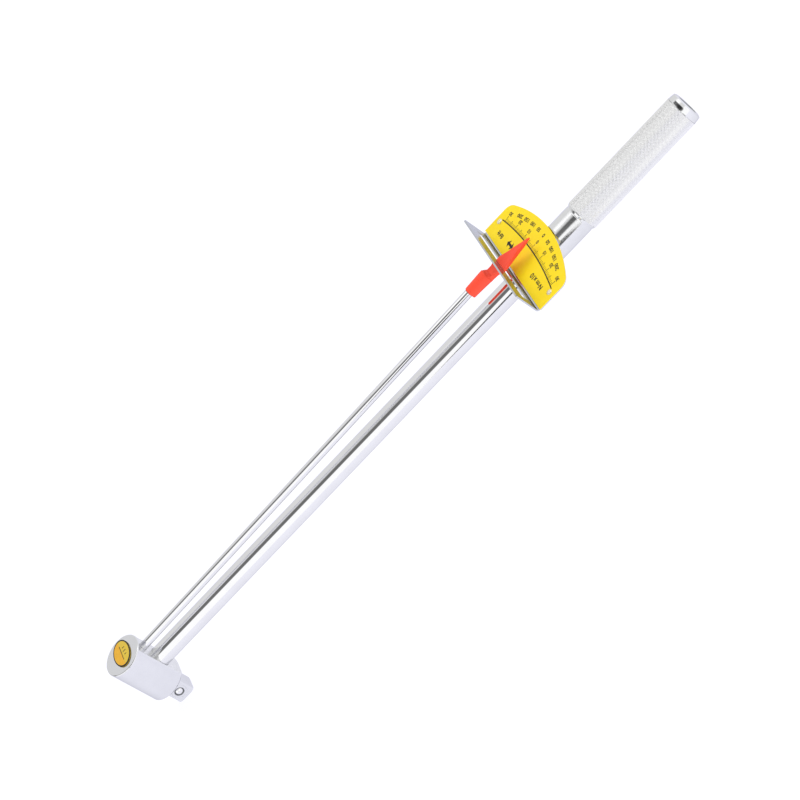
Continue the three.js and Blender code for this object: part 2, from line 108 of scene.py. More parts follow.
DRIVE_SIZE = 12.7
DRIVE_LENGTH = 15.7
DRIVE_CORNER = 0.9
DRIVE_END_ROUND = 2
DRIVE_END_RADIUS = 7
SEAT_X = 12  # the milled flat that the beam and the rod come out of
HEAD_LIP = 1.2
DETENT_BORE_RADIUS = 3.15
DETENT_LIP_RADIUS = 2.75
DETENT_MOUTH_RADIUS = 3.4
DETENT_BORE_END = 4.2
HEAD_TOP_ROUND = 0.9
HEAD_BOTTOM_CHAMFER = 1.4
ROD_Z = 47.85
ROD_RISE = 0.02006
ROD_TAIL = 8.5
ROD_SPIGOT_RADIUS = 1.9  # the rod's thinner end, inside the tip
NECK_RADIUS = 10.1
GRIP_START = 394.3
HANDLE_BORE = 7.2
END_BAND = 5.3  # plain band between the knurl and the end face
END_CHAMFER = 2.2
HANDLE_FLAT = 8.65
HANDLE_FLAT_END = 34.6
SHEET = 1.0
BASE_INSET = 0.6
WALL_HEIGHT = 18.2
WALL_HALF_WIDTH = 45.4
WALL_CORNER = 2
WALL_LEAN = 0.03
WALL_SETBACK = 1.35
WINDOW_LOW, WINDOW_HIGH = 4.3, 10.1
WINDOW_HALF_LENGTH = 38.6
WINDOW_CORNER = 1.6
PLATE_BACK_RADIUS = 106
PLATE_CORNER = 7
RIVET_X, RIVET_Y = 10.75, 42
TIP_SOCKET_Z = 53.16
SPRING_RADIUS, SPRING_WIRE, SPRING_TURNS = 2.1, 0.3, 6
KNURL_PITCH = 1.2
KNURL_DEPTH = 0.28
FIT_GAP = 0.1  # round a bar or a screw in its hole
BORE_EXTRA = 0.2  # how much deeper a bore is than the bar in it
STAKE_RING_RADIUS, STAKE_RING_DEPTH = 4.9, 0.12
INK_HEIGHT = 0.03

# ---- Camera: where it stands, and how it is turned ----

CAMERA_AZIMUTH, CAMERA_ELEVATION, CAMERA_ROLL = 15.732, 36.231, -55.765
CAMERA_DISTANCE = 1.6453
CAMERA_TARGET = Vector((0.2396, -0.0056, 0.040))
CAMERA_LENS = 122.18


# ---- Mesh making ----


def make_object(name, vertices, faces, material=None):
    """A smooth-shaded object from a list of points in millimetres."""
    mesh = bpy.data.meshes.new(name)
    mesh.from_pydata([Vector(v) * MM for v in vertices], [], faces)
    return wrap_mesh(name, mesh, material)


def wrap_mesh(name, mesh, material=None, sharp_angle=32):
    mesh.name = name
    mesh.shade_smooth()
    mesh.set_sharp_from_angle(angle=math.radians(sharp_angle))
    if material:
        mesh.materials.clear()
        mesh.materials.append(material)
    made = bpy.data.objects.new(name, mesh)
    bpy.context.scene.collection.objects.link(made)
    return made


def arc(centre, radius, start, end, steps):
    """Points on an arc; the angles are in radians."""
    points = []
    for i in range(steps + 1):
        angle = start + (end - start) * i / steps
        points.append((centre[0] + radius * math.cos(angle), centre[1] + radius * math.sin(angle)))
    return points


def soften(profile, radius, steps=4, closed=False):
    """The profile with each inner corner replaced by a small arc."""
    count = len(profile)
    points = []
    for i in range(count):
        here = Vector(profile[i])
        if not closed and i in (0, count - 1):
            points.append(tuple(here))
            continue
        before = Vector(profile[i - 1]) - here
        after = Vector(profile[(i + 1) % count]) - here
        if before.length < 1e-6 or after.length < 1e-6:
            points.append(tuple(here))
            continue
        half = before.angle(after) / 2
        if half > math.radians(80):
            points.append(tuple(here))
            continue
        cut = min(radius / math.tan(half), before.length * 0.45, after.length * 0.45)
        start = here + before.normalized() * cut
        end = here + after.normalized() * cut
        for k in range(steps + 1):
            t = k / steps
            points.append(tuple(start * (1 - t) ** 2 + here * 2 * t * (1 - t) + end * t**2))
    return points


def place(axis, radius, along, angle):
    """A point at a radius and an angle round an axis."""
    side, other = radius * math.cos(angle), radius * math.sin(angle)
    return {"X": (along, side, other), "Y": (other, along, side), "Z": (side, other, along)}[axis]


def turned(name, profile, axis, centre=(0, 0, 0), segments=96, material=None, closed=False):
    """A turned piece. The profile is a list of (radius, distance along the axis)."""
    vertices, faces, rings = [], [], []
    for radius, along in profile:
        if radius < 1e-6:
            rings.append([len(vertices)])
            vertices.append(place(axis, 0, along, 0))
            continue
        rings.append(list(range(len(vertices), len(vertices) + segments)))
        vertices += [place(axis, radius, along, 2 * math.pi * i / segments) for i in range(segments)]
    pairs = list(zip(rings, rings[1:]))
    if closed:
        pairs.append((rings[-1], rings[0]))
    for low, high in pairs:
        for i in range(segments):
            k = (i + 1) % segments
            if len(low) == 1 and len(high) == 1:
                break
            if len(low) == 1:
                faces.append((low[0], high[k], high[i]))
            elif len(high) == 1:
                faces.append((low[i], low[k], high[0]))
            else:
                faces.append((low[i], low[k], high[k], high[i]))
    made = make_object(name, vertices, faces, material)
    made.data.transform(Matrix.Translation(Vector(centre) * MM))
    outward(made.data)
    return made


def outward(mesh):
    """Turns all the faces of a closed mesh to point outwards."""
    work = bmesh.new()
    work.from_mesh(mesh)
    bmesh.ops.recalc_face_normals(work, faces=work.faces)
    work.to_mesh(mesh)
    work.free()


def extruded(name, outline, low, high, axis="Z", material=None):
    """A closed outline swept between two distances along an axis."""
    count = len(outline)

    def put(point, along):
        a, b = point
        return {"X": (along, a, b), "Y": (a, along, b), "Z": (a, b, along)}[axis]

    vertices = [put(p, low) for p in outline] + [put(p, high) for p in outline]
    faces = [tuple(range(count)), tuple(range(count, 2 * count))]
    for i in range(count):
        k = (i + 1) % count
        faces.append((i, k, count + k, count + i))
    made = make_object(name, vertices, faces, material)
    outward(made.data)
    return made


def block(low, high):
    outline = [(low[0], low[1]), (high[0], low[1]), (high[0], high[1]), (low[0], high[1])]
    return extruded("block", outline, low[2], high[2])


def rounded_rectangle(half_x, half_y, radius, steps=8):
    x, y = half_x - radius, half_y - radius
    quarter = math.pi / 2
    return (
        arc((x, y), radius, 0, quarter, steps)
        + arc((-x, y), radius, quarter, 2 * quarter, steps)
        + arc((-x, -y), radius, 2 * quarter, 3 * quarter, steps)
        + arc((x, -y), radius, 3 * quarter, 4 * quarter, steps)
    )


def baked_mesh(source):
    """The object's mesh with its modifiers applied."""
    graph = bpy.context.evaluated_depsgraph_get()
    return bpy.data.meshes.new_from_object(source.evaluated_get(graph))


def combine(name, base, steps, material=None, bevel=0.0, segments=3, angle=35):
    """base joined with and cut by other solids, with its sharp edges rounded."""
    for operation, tool in steps:
        cut = base.modifiers.new(operation, "BOOLEAN")
        cut.operation = operation
        cut.solver = "EXACT"
        cut.object = tool
    bpy.context.view_layer.update()
    mesh = baked_mesh(base)
    for tool in [t for _, t in steps] + [base]:
        bpy.data.objects.remove(tool)
    made = wrap_mesh(name, mesh, material)
    if bevel:
        soft = made.modifiers.new("soft_edges", "BEVEL")
        soft.width = bevel * MM
        soft.segments = segments
        soft.limit_method = "ANGLE"
        soft.angle_limit = math.radians(angle)
        soft.use_clamp_overlap = True
        soft.harden_normals = False
        mesh = baked_mesh(made)
        bpy.data.objects.remove(made)
        made = wrap_mesh(name, mesh, material, sharp_angle=50)
        weighted = made.modifiers.new("flat_faces", "WEIGHTED_NORMAL")
        weighted.keep_sharp = True
    return made


def joined(name, parts, material=None):
    """One object from several; the others are removed."""
    work = bmesh.new()
    for part in parts:
        work.from_mesh(baked_mesh(part))
    mesh = bpy.data.meshes.new(name)
    work.to_mesh(mesh)
    work.free()
    for part in parts:
        bpy.data.objects.remove(part)
    return wrap_mesh(name, mesh, material)


# ---- Materials ----


class Shader:
    """Short calls for building one Principled material from procedural nodes."""

    def __init__(self, name, **values):
        self.material = bpy.data.materials.new(name)
        self.material.use_nodes = True
        self.nodes = self.material.node_tree.nodes
        self.links = self.material.node_tree.links
        self.main = self.nodes["Principled BSDF"]
        self.place = self.nodes.new("ShaderNodeTexCoord").outputs["Object"]
        for key, value in values.items():
            self.main.inputs[key.replace("_", " ")].default_value = value

    def node(self, kind, **inputs):
        """A node with its inputs linked or set; i0 and i1 are inputs by number."""
        made = self.nodes.new(kind)
        for key, value in inputs.items():
            numbered = key[0] == "i" and key[1:].isdigit()
            socket = made.inputs[int(key[1:]) if numbered else key]
            if isinstance(value, bpy.types.NodeSocket):
                self.links.new(value, socket)
            else:
                socket.default_value = value
        return made

    def stretched(self, scale):
        """Object coordinates stretched by different amounts along X, Y and Z."""
        return self.node("ShaderNodeMapping", Vector=self.place, Scale=scale).outputs["Vector"]

    def noise(self, scale, detail=3.0, rough=0.55, where=None):
        where = where or self.place
        made = self.node(
            "ShaderNodeTexNoise", Vector=where, Scale=scale, Detail=detail, Roughness=rough
        )
        return made.outputs["Fac"]

    def ramp(self, factor, stops):
        """A colour ramp; each stop is (position, colour or grey)."""
        made = self.node("ShaderNodeValToRGB", Fac=factor)
        elements = made.color_ramp.elements
        while len(elements) < len(stops):
            elements.new(0.5)
        for element, (position, colour) in zip(elements, stops):
            element.position = position
            if not hasattr(colour, "__len__"):
                colour = (colour, colour, colour)
            element.color = (*colour, 1)
        return made.outputs["Color"]

    def between(self, factor, low, high):
        """The factor, which runs from 0.3 to 0.7 on a noise, spread from low to high."""
        made = self.node("ShaderNodeMapRange", Value=factor)
        made.inputs["From Min"].default_value = 0.3
        made.inputs["From Max"].default_value = 0.7
        made.inputs["To Min"].default_value = low
        made.inputs["To Max"].default_value = high
        return made.outputs["Result"]

    def set(self, name, value):
        self.links.new(value, self.main.inputs[name])

    def bump(self, height, distance, strength=1.0, under=None):
        """Bump of a height from 0 to 1 over a distance in millimetres."""
        made = self.node("ShaderNodeBump", Height=height, Distance=distance * MM, Strength=strength)
        if under:
            self.links.new(under, made.inputs["Normal"])
        self.links.new(made.outputs["Normal"], self.main.inputs["Normal"])
        return made.outputs["Normal"]


EDGE_TINT = (0.72, 0.72, 0.74, 1)


def polished_chrome(name, grey, rough, lines, along):
    """Bright plating: faint cloudiness, and fine lines that run across the way it was polished."""
    shader = Shader(name, Metallic=1.0)
    shader.main.inputs["Specular Tint"].default_value = EDGE_TINT
    cloud = shader.noise(90)
    tint = shader.ramp(cloud, [(0.3, [g * 0.965 for g in grey]), (0.7, grey)])
    shader.set("Base Color", tint)
    scratch = shader.noise(1, 4, 0.7, shader.stretched(along))
    shader.set("Roughness", shader.between(scratch, rough * 0.75, rough * 1.35))
    ripple = shader.bump(shader.noise(420, 2), 0.004, 0.35)
    shader.bump(scratch, lines, 0.4, ripple)
    return shader.material


CHROME_TINT = (0.80, 0.80, 0.81)
HEAD_TINT = (0.75, 0.755, 0.775)
along_bar = (60, 2600, 2600)
round_bar = (2600, 90, 90)
beam_chrome = polished_chrome("beam_chrome", CHROME_TINT, 0.045, 0.003, along_bar)
rod_chrome = polished_chrome("rod_chrome", CHROME_TINT, 0.05, 0.003, along_bar)
sheet_chrome = polished_chrome("sheet_chrome", (0.58, 0.60, 0.645), 0.24, 0.003, (500, 60, 500))
ball_chrome = polished_chrome("ball_chrome", (0.82, 0.82, 0.83), 0.05, 0.002, (900, 900, 900))
# The rivets' warm yellow base colour is a painted reflection of the yellow plate round them.
rivet_painted_reflection = polished_chrome("rivet_painted_reflection", (0.93, 0.86, 0.62), 0.22, 0.002, (900, 900, 900))


def forged_chrome():
    """The head's polished plating, slightly wavy over the forging."""
    shader = Shader("forged_chrome", Metallic=1.0)
    shader.main.inputs["Specular Tint"].default_value = EDGE_TINT
    cloud = shader.noise(60)
    tint = shader.ramp(cloud, [(0.3, [g * 0.95 for g in HEAD_TINT]), (0.7, HEAD_TINT)])
    shader.set("Base Color", tint)
    fine = shader.noise(1500, 3, 0.6)
    shader.set("Roughness", shader.between(cloud, 0.06, 0.1))
    under = shader.bump(shader.noise(260, 2), 0.006, 0.3)
    shader.bump(fine, 0.003, 0.3, under)
    return shader.material


def milled_chrome():
    """The seat's plating over cutter marks, which blur what it mirrors."""
    shader = Shader("milled_chrome", Metallic=1.0)
    tints = [(0.3, (0.66, 0.665, 0.67)), (0.7, (0.72, 0.725, 0.73))]
    shader.set("Base Color", shader.ramp(shader.noise(90), tints))
    marks = shader.noise(1, 3, 0.6, shader.stretched((90, 90, 2200)))
    shader.set("Roughness", shader.between(marks, 0.24, 0.36))
    shader.bump(marks, 0.006, 0.5)
    return shader.material


def turned_chrome():
    """Plating over turned steel, with fine rings round the X axis."""
    shader = Shader("turned_chrome", Metallic=1.0)
    shader.main.inputs["Specular Tint"].default_value = EDGE_TINT
    cloud = shader.noise(70)
    tints = [(0.3, (0.73, 0.735, 0.74)), (0.7, (0.78, 0.785, 0.79))]
    shader.set("Base Color", shader.ramp(cloud, tints))
    rings = shader.noise(1, 4, 0.7, shader.stretched(round_bar))
    shader.set("Roughness", shader.between(rings, 0.09, 0.18))
    shader.bump(rings, 0.006, 0.5)
    return shader.material


def knurled_steel():
    """Plated knurl whose base colour runs from light on the tops to dark down in the grooves, a
    painted shade.
    """
    shader = Shader("knurled_steel", Metallic=1.0, Specular_Tint=(0.6, 0.6, 0.61, 1))
    parts = shader.node("ShaderNodeSeparateXYZ", Vector=shader.place)
    y, z = parts.outputs["Y"], parts.outputs["Z"]
    level = shader.node("ShaderNodeMath", i0=z, i1=BEAM_Z * MM)
    level.operation = "SUBTRACT"
    squares = [shader.node("ShaderNodeMath", i0=v, i1=v) for v in (y, level.outputs[0])]
    for square in squares:
        square.operation = "MULTIPLY"
    total = shader.node("ShaderNodeMath", i0=squares[0].outputs[0], i1=squares[1].outputs[0])
    root = shader.node("ShaderNodeMath", i0=total.outputs[0])
    root.operation = "SQRT"
    height = shader.node("ShaderNodeMapRange", Value=root.outputs[0])
    height.inputs["From Min"].default_value = (GRIP_RADIUS - KNURL_DEPTH) * MM
    height.inputs["From Max"].default_value = GRIP_RADIUS * MM
    # Painted shade: the base colour darkens with depth into the knurl's grooves.
    groove_shade = shader.ramp(height.outputs["Result"], [(0.0, 0.74), (0.5, 0.87), (1.0, 0.91)])
    shader.set("Base Color", groove_shade)
    shader.set("Roughness", shader.between(shader.noise(800), 0.2, 0.32))
    shader.bump(shader.noise(2400, 2), 0.006, 0.4)
    return shader.material


def printed(name, low, high, rough):
    """Ink or paint: slight colour variation, a faint print grain and small scuffs."""
    shader = Shader(name, Specular_IOR_Level=0.25)
    wide = shader.noise(35, 4)
    shader.set("Base Color", shader.ramp(wide, [(0.3, low), (0.7, high)]))
    grain = shader.noise(1800, 2)
    shader.set("Roughness", shader.between(shader.noise(240, 4), rough * 0.8, rough * 1.25))
    shader.bump(grain, 0.004, 0.35)
    return shader.material


def moulded_red():
    """Satin red plastic with moulding flow and fine rubbing."""
    shader = Shader("moulded_red", Specular_IOR_Level=0.3)
    flow = shader.noise(1, 3, 0.6, shader.stretched((60, 240, 240)))
    tints = [(0.3, (0.90, 0.072, 0.034)), (0.7, (0.94, 0.084, 0.042))]
    shader.set("Base Color", shader.ramp(flow, tints))
    shader.set("Roughness", shader.between(shader.noise(500, 3), 0.5, 0.62))
    shader.bump(shader.noise(900, 2), 0.008, 0.4)
    return shader.material


def dark_steel(name, low, high):
    """Oiled or drawn steel."""
    shader = Shader(name, Metallic=1.0)
    shader.set("Base Color", shader.ramp(shader.noise(160, 4), [(0.3, low), (0.7, high)]))
    shader.set("Roughness", shader.between(shader.noise(900, 3), 0.28, 0.42))
    shader.bump(shader.noise(1500, 2), 0.006, 0.5)
    return shader.material


head_finish = forged_chrome()
milled_finish = milled_chrome()
turned_finish = turned_chrome()
knurl_finish = knurled_steel()
yellow_paint = printed("yellow_print", (0.90, 0.66, 0.004), (0.93, 0.70, 0.008), 0.42)
black_ink = printed("black_print", (0.012, 0.012, 0.010), (0.03, 0.028, 0.02), 0.5)
badge_orange = printed("badge_orange", (0.70, 0.36, 0.018), (0.75, 0.41, 0.024), 0.35)
badge_amber = printed("badge_amber", (0.62, 0.43, 0.038), (0.67, 0.48, 0.046), 0.35)
red_plastic = moulded_red()
# Dark oiled steel, also put on the faces round the detent ball's mouth as a painted shadow.
oiled_steel_and_mouth_shade = dark_steel("oiled_steel_and_mouth_shade", (0.16, 0.165, 0.17), (0.24, 0.245, 0.25))
spring_wire = dark_steel("spring_wire", (0.42, 0.42, 0.43), (0.55, 0.55, 0.56))


# ---- Head, beam and pointer ----


def along_rod(piece):
    """Moves a piece made along X onto the pointer rod's rising axis."""
    turn = Matrix.Rotation(-ROD_RISE, 4, "Y")
    piece.data.transform(Matrix.Translation(Vector((SEAT_X, 0, ROD_Z)) * MM) @ turn)
    return piece


def barrel_profile():
    top_round = arc(
        (HEAD_RADIUS - HEAD_TOP_ROUND, HEAD_TOP - HEAD_TOP_ROUND), HEAD_TOP_ROUND, 0, math.pi / 2, 8
    )
    lower = [
        (0, DRIVE_LENGTH),
        (HEAD_RADIUS - HEAD_BOTTOM_CHAMFER, DRIVE_LENGTH),
        (HEAD_RADIUS, DRIVE_LENGTH + HEAD_BOTTOM_CHAMFER),
    ]
    return soften([*lower, (HEAD_RADIUS, HEAD_TOP - 6)], 0.5)[:-1] + top_round + [(0, HEAD_TOP)]


def drive_square():
    half = DRIVE_SIZE / 2
    square = extruded(
        "square", rounded_rectangle(half, half, DRIVE_CORNER, 6), 0, DRIVE_LENGTH + 1
    )
    corner = DRIVE_SIZE / math.sqrt(2)
    steps = 8
    rounding = []
    for i in range(steps + 1):
        angle = i / steps * math.pi / 2
        radius = DRIVE_END_RADIUS + (corner - DRIVE_END_RADIUS) * math.sin(angle)
        rounding.append((radius, DRIVE_END_ROUND * (1 - math.cos(angle))))
    profile = [(0, 0), *rounding, (corner, DRIVE_LENGTH + 2), (0, DRIVE_LENGTH + 2)]
    envelope = turned("envelope", profile, "Z", segments=128)
    return combine("drive", square, [("INTERSECT", envelope)])


def staked_bore():
    """The ball's bore: a punched dish round the mouth, a lip that keeps the ball in, and a bore."""
    face = -DRIVE_SIZE / 2
    profile = [
        (0, face - 1),
        (DETENT_MOUTH_RADIUS + 1, face - 1),
        (DETENT_MOUTH_RADIUS, face - 0.02),
        (DETENT_LIP_RADIUS, face + 0.3),
        (DETENT_LIP_RADIUS, face + 0.5),
        (DETENT_BORE_RADIUS, face + 0.75),
        (DETENT_BORE_RADIUS, DETENT_BORE_END),
        (0, DETENT_BORE_END),
    ]
    return turned("bore", profile, "Y", (0, 0, BALL_CENTRE.z), 64)


def stake_ring():
    """A shallow ring pressed into the flat round the ball."""
    return turned(
        "ring",
        arc((STAKE_RING_RADIUS, -DRIVE_SIZE / 2), STAKE_RING_DEPTH, 0, 2 * math.pi, 12)[:-1],
        "Y",
        (0, 0, BALL_CENTRE.z),
        64,
        closed=True,
    )


def head_body():
    barrel = turned("barrel", barrel_profile(), "Z", segments=192)
    beam_bore = turned(
        "beam_bore",
        [
            (0, BEAM_LOW.x - BORE_EXTRA),
            (BEAM_RADIUS + FIT_GAP, BEAM_LOW.x - BORE_EXTRA),
            (BEAM_RADIUS + FIT_GAP, SEAT_X + 5),
            (0, SEAT_X + 5),
        ],
        "X",
        (0, 0, BEAM_Z),
        128,
    )
    rod_profile = [
        (0, -ROD_TAIL - BORE_EXTRA),
        (ROD_RADIUS + FIT_GAP, -ROD_TAIL - BORE_EXTRA),
        (ROD_RADIUS + FIT_GAP, 4),
        (0, 4),
    ]
    rod_bore = along_rod(turned("rod_bore", rod_profile, "X", segments=64))
    pin_radius = (PIN_HIGH.y - PIN_LOW.y) / 2 + FIT_GAP
    pin_bore = turned(
        "pin_bore",
        [(0, PIN_LOW.z), (pin_radius, PIN_LOW.z), (pin_radius, HEAD_TOP + 1), (0, HEAD_TOP + 1)],
        "Z",
        ((PIN_LOW.x + PIN_HIGH.x) / 2, 0, 0),
        48,
    )
    steps = [
        ("UNION", drive_square()),
        ("DIFFERENCE", block((SEAT_X, -20, 0), (20, 20, HEAD_TOP - HEAD_LIP))),
        ("DIFFERENCE", beam_bore),
        ("DIFFERENCE", rod_bore),
        ("DIFFERENCE", pin_bore),
        ("DIFFERENCE", staked_bore()),
        ("DIFFERENCE", stake_ring()),
    ]
    piece = combine("head_body", barrel, steps, head_finish, bevel=0.3, angle=28)
    piece.data.materials.append(milled_finish)
    piece.data.materials.append(oiled_steel_and_mouth_shade)
    for face in piece.data.polygons:
        centre = face.center / MM
        from_ball = math.hypot(centre.x, centre.z - BALL_CENTRE.z)
        if face.normal.x > 0.99 and abs(centre.x - SEAT_X) < 0.05:
            face.material_index = 1
        # Painted shade: the dish and bore faces round the ball take the dark steel, which paints the
        # shadow in the ball's mouth.
        elif from_ball < DETENT_MOUTH_RADIUS and 0.05 - DRIVE_SIZE / 2 < centre.y < 0:
            face.material_index = 2
    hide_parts("drive_head")
    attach(piece, "head")


def badge():
    """A thin oval disc in two colours, with a dark outline, a dividing line and plain bars."""
    centre = ((BADGE_LOW.x + BADGE_HIGH.x) / 2, (BADGE_LOW.y + BADGE_HIGH.y) / 2, 0)
    radius = (BADGE_HIGH.x - BADGE_LOW.x) / 2
    stretch = (BADGE_HIGH.y - BADGE_LOW.y) / (BADGE_HIGH.x - BADGE_LOW.x)
    low, top = BADGE_LOW.z, BADGE_HIGH.z
    onto_head = Matrix.Translation(Vector(centre) * MM) @ Matrix.Diagonal((1, stretch, 1, 1))
    disc = [(0, low), (radius, low), (radius, top - 0.12), (radius * 0.92, top), (0, top)]
    piece = turned("badge_disc", soften(disc, 0.12), "Z", (0, 0, 0), 96, badge_amber)
    piece.data.transform(onto_head)
    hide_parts("head_badge")
    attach(piece, "head")
    inner = radius * 0.9
    half = arc((0, 0), inner, math.pi / 2, 1.5 * math.pi, 40)
    tint = extruded("badge_tint", half, top - 0.02, top + 0.012, "Z", badge_orange)
    tint.data.transform(onto_head)
    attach(tint, "head")
    outer = radius + 0.02
    ring_outline = [
        (inner, top - 0.02),
        (radius * 0.92, top - 0.05),
        (radius - 0.06, top - 0.2),
        (radius - 0.06, top - 0.35),
        (outer, top - 0.35),
        (outer, top - 0.1),
        (radius * 0.93, top + INK_HEIGHT),
        (inner, top + INK_HEIGHT),
    ]
    ring = turned("ring", ring_outline, "Z", (0, 0, 0), 96, closed=True)
    ring.data.transform(onto_head)
    marks = [ring]
    bars = [(0, 0, 0.22, 6.4), (2.6, 3, 0.9, 0.3), (2.6, 0, 1.2, 0.3), (2.6, -3, 0.9, 0.3)]
    for x, y, half_x, half_y in bars:
        bar = extruded("bar", rounded_rectangle(half_x, half_y, 0.18, 3), top, top + 0.03)
        bar.data.transform(Matrix.Translation((Vector(centre) + Vector((x, y, 0))) * MM))
        marks.append(bar)
    print_piece = joined("badge_print", marks, black_ink)
    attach(print_piece, "head")


def beam():
    """The bar, with enough rings along it to bend smoothly."""
    chamfer = 0.8
    front = [(0, BEAM_LOW.x), (BEAM_RADIUS, BEAM_LOW.x), (BEAM_RADIUS, BEAM_LOW.x + 9)]
    back = [(BEAM_RADIUS, BEAM_HIGH.x - 9), (BEAM_RADIUS, BEAM_HIGH.x), (0, BEAM_HIGH.x)]
    rings = 140
    first, last = BEAM_LOW.x + 10, BEAM_HIGH.x - 10
    middle = [(BEAM_RADIUS, first + (last - first) * i / rings) for i in range(rings + 1)]
    profile = soften(front, chamfer) + middle + soften(back, chamfer)
    piece = turned("beam_bar", profile, "X", (0, 0, BEAM_Z), 96, beam_chrome)
    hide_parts("deflecting_beam")
    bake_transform(piece)


def pointer_rod():
    shoulder = PLATE_X - 27.1 - SEAT_X
    end = PLATE_X - 13.5 - SEAT_X
    profile = [
        (0, -ROD_TAIL),
        (ROD_RADIUS, -ROD_TAIL),
        (ROD_RADIUS, shoulder),
        (ROD_SPIGOT_RADIUS, shoulder),
        (ROD_SPIGOT_RADIUS, end),
        (0, end),
    ]
    profile = soften(profile, 0.3)
    piece = along_rod(turned("pointer_bar", profile, "X", segments=64, material=rod_chrome))
    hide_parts("pointer_rod")
    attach(piece, "head")


def pointer_tip():
    from_flat = PLATE_X - SEAT_X
    profile = [
        (0, -27),
        (3.95, -27),
        (4.6, -12.3),
        (3.8, -11.5),
        (0, -11.5),
    ]
    profile = [(r, PLATE_X + x) for r, x in profile]
    socket = turned("socket", soften(profile, 0.5), "X", (0, 0, TIP_SOCKET_Z), 96)
    bore_radius, bore_start, bore_end = 2.05, from_flat - 28, from_flat - 13
    bore_profile = [(0, bore_start), (bore_radius, bore_start), (bore_radius, bore_end), (0, bore_end)]
    bore = along_rod(turned("bore", bore_profile, "X", segments=48))
    side = [
        (-14, 7.2),
        (-8, 7.2),
        (-3, 6.9),
        (1, 6.9),
        (9, 5.9),
        (16, 5.6),
        (21.6, 6.1),
        (21.6, 6.8),
        (11, 8.3),
        (-2.5, 8.4),
        (-5, 9.7),
        (-10, 10),
        (-11.6, 12),
        (-14, 12.2),
    ]
    half_plan = [
        (-14, 3.9),
        (-10.3, 4),
        (-6.5, 4.4),
        (-3.4, 6.35),
        (0.7, 6.35),
        (5.6, 4.2),
        (11.4, 2.4),
        (16.3, 1.4),
        (21.6, 0.35),
    ]
    side = soften(side, 1.2, 3, closed=True)
    plan = half_plan + [(x, -y) for x, y in reversed(half_plan)]
    plan = soften(plan, 0.8, 3, closed=True)
    arrow = extruded("arrow", [(PLATE_X + x, PLATE_TOP + z) for x, z in side], -10, 10, "Y")
    trim = extruded("trim", [(PLATE_X + x, y) for x, y in plan], PLATE_TOP, PLATE_TOP + 20)
    arrow = combine("arrow", arrow, [("INTERSECT", trim)])
    piece = combine(
        "pointer_tip_moulding",
        socket,
        [("UNION", arrow), ("DIFFERENCE", bore)],
        red_plastic,
        bevel=0.22,
        angle=28,
    )
    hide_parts("pointer_tip")
    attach(piece, "head")


def detent():
    steps = 40
    half = arc((0, 0), BALL_RADIUS, -math.pi / 2, math.pi / 2, steps)
    half[0], half[-1] = (0, -BALL_RADIUS), (0, BALL_RADIUS)
    worn = [(r, max(a, -BALL_RADIUS + 0.03)) for r, a in half]
    ball = turned("detent_ball_bearing", worn, "Y", BALL_CENTRE, 64, ball_chrome)
    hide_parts("detent_ball")
    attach(ball, "detent_ball")
    from_ball = BALL_RADIUS + SPRING_WIRE + 0.1
    start = BALL_CENTRE.y + math.sqrt(from_ball**2 - SPRING_RADIUS**2)
    end = DETENT_BORE_END - SPRING_WIRE - 0.1
    sides, per_turn = 12, 32
    count = SPRING_TURNS * per_turn
    vertices, faces = [], []
    for i in range(count + 1):
        angle = 2 * math.pi * i / per_turn
        out = Vector((math.cos(angle), 0, math.sin(angle)))
        centre = out * SPRING_RADIUS + Vector((0, start + (end - start) * i / count, BALL_CENTRE.z))
        for k in range(sides):
            around = 2 * math.pi * k / sides
            offset = out * math.cos(around) + Vector((0, math.sin(around), 0))
            vertices.append(centre + SPRING_WIRE * offset)
    for i in range(count):
        for k in range(sides):
            m = (k + 1) % sides
            faces.append((i * sides + k, i * sides + m, (i + 1) * sides + m, (i + 1) * sides + k))
    faces.append(tuple(range(sides)))
    faces.append(tuple(count * sides + k for k in range(sides)))
    spring = make_object("detent_coil", vertices, faces, spring_wire)
    outward(spring.data)
    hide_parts("detent_spring")
    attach(spring, "head")
    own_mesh(spring)


def lock_pin():
    radius = (PIN_HIGH.y - PIN_LOW.y) / 2
    profile = [
        (0, PIN_LOW.z),
        (radius, PIN_LOW.z),
        (radius, PIN_HIGH.z),
        (0.8, PIN_HIGH.z),
        (0, PIN_HIGH.z - 0.8),
    ]
    centre = ((PIN_LOW.x + PIN_HIGH.x) / 2, 0, 0)
    piece = turned("lock_pin_bar", soften(profile, 0.5), "Z", centre, 48, oiled_steel_and_mouth_shade)
    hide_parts("beam_lock_pin")
    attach(piece, "head")


# ---- Handle ----


